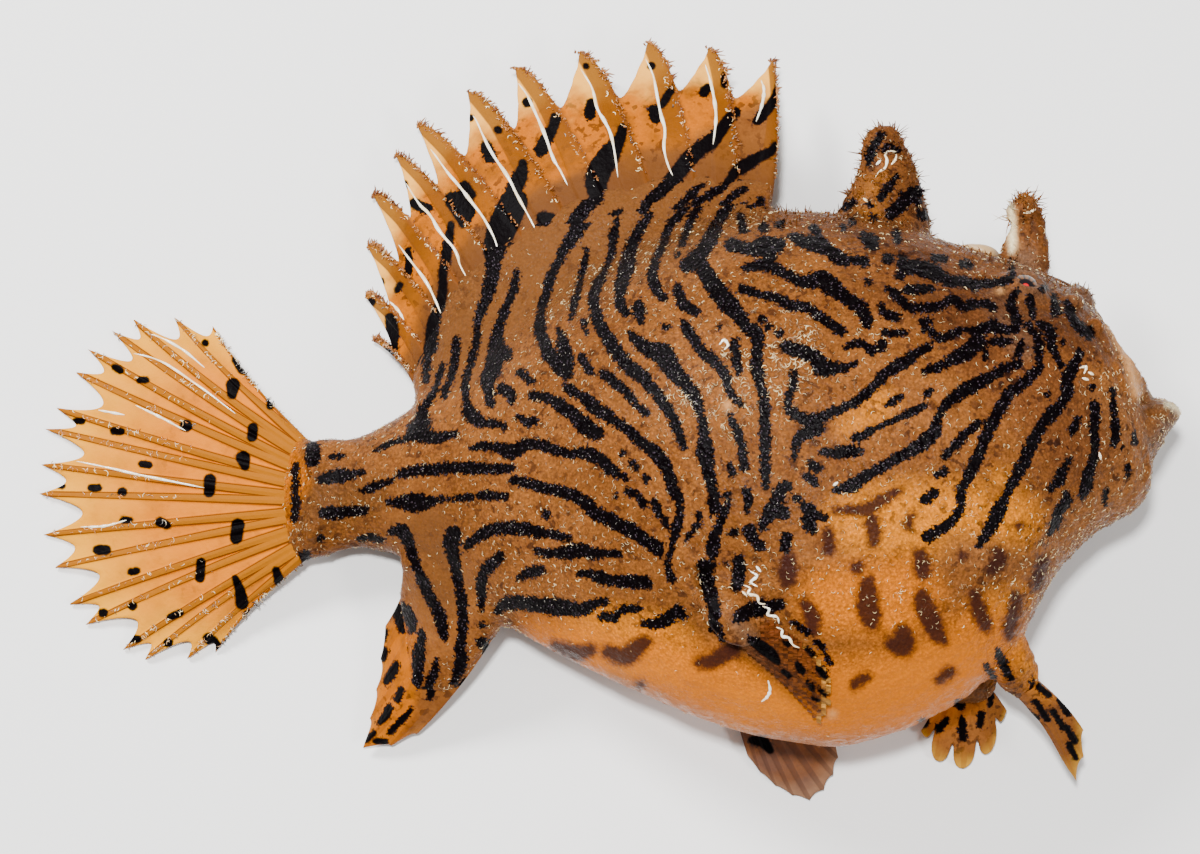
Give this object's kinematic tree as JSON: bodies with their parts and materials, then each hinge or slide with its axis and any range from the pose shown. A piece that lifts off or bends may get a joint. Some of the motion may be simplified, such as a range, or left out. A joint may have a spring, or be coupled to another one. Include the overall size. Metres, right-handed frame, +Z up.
{
  "type": "striated frogfish",
  "caption": "Life-size striated frogfish lying on its left side, fins spread, orange-brown skin with dark branching stripes.",
  "frame": {"origin": "on the resting surface, under the middle of the whole fish", "axes": "+X to the snout, +Y to the back fin, +Z up out of the right flank; the fish lies on its left side"},
  "size_m": [0.1454, 0.098, 0.0418],
  "materials": {
    "skin": "wet granular skin, orange-brown with near-black stripes",
    "fin": "wet thin fin skin, orange with dark bars and spots",
    "tail_fin": "wet thin pale membrane with orange-brown rays and dark spots",
    "spine": "wet rough skin with short filaments",
    "lure": "wet pale flesh",
    "eye": "wet dark eye with a clear front"
  },
  "bodies": {
    "root": {"head": "skin", "lower_jaw": "skin", "trunk": "skin", "tail_stalk": "skin", "eye_right": "eye", "eye_left": "eye", "lure_spine": "lure", "second_spine": "spine", "third_spine": "spine", "back_fin": "fin", "anal_fin": "fin", "tail_fin": "tail_fin", "pectoral_fin_right": "fin", "pectoral_fin_left": "fin", "pelvic_fin_right": "fin", "pelvic_fin_left": "fin"}
  },
  "joints": []
}
